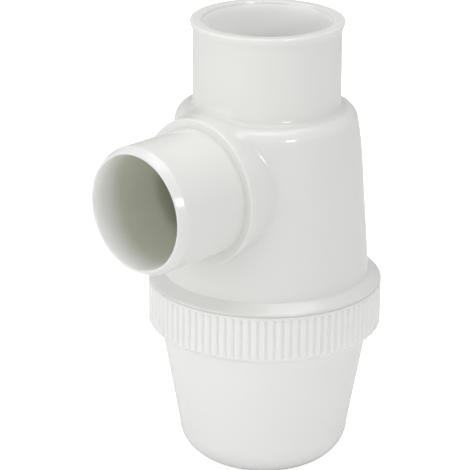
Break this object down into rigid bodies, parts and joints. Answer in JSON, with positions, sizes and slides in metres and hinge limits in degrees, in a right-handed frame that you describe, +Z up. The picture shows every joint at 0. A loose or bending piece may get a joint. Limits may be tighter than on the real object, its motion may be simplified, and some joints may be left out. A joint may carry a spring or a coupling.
{
  "type": "basin bottle trap",
  "caption": "Bottle trap for a wash basin: glued inlet socket on top, horizontal outlet spigot, dip tube inside, and a screw cup with a fluted collar.",
  "frame": {"origin": "centre of the flat under the screw cup, on the trap's axis", "axes": "+Z up the axis, towards the inlet socket's mouth; +X along the outlet spigot, away from the body"},
  "size_m": [0.0944, 0.0738, 0.1455],
  "materials": {
    "white_body": "moulded gloss",
    "seal_rubber": "matt",
    "white_cup": "moulded gloss"
  },
  "bodies": {
    "body": {"trap_body": "white_body"},
    "seal": {"sealing_ring": "seal_rubber"},
    "cup": {"screw_cup": "white_cup"}
  },
  "joints": [
    {"name": "cup_travel", "type": "slide", "parent": "body", "child": "seal", "axis": [0, 0, -1], "range_m": [0, 0.01]},
    {"name": "cup_turn", "type": "hinge", "parent": "seal", "child": "cup", "pos_m": [0, 0, 0.0535], "axis": [0, 0, -1], "range_deg": [0, 900]}
  ],
  "couplings": [
    {"joint": "cup_travel", "follows": "cup_turn", "m_per_rad": 0.00063662}
  ]
}
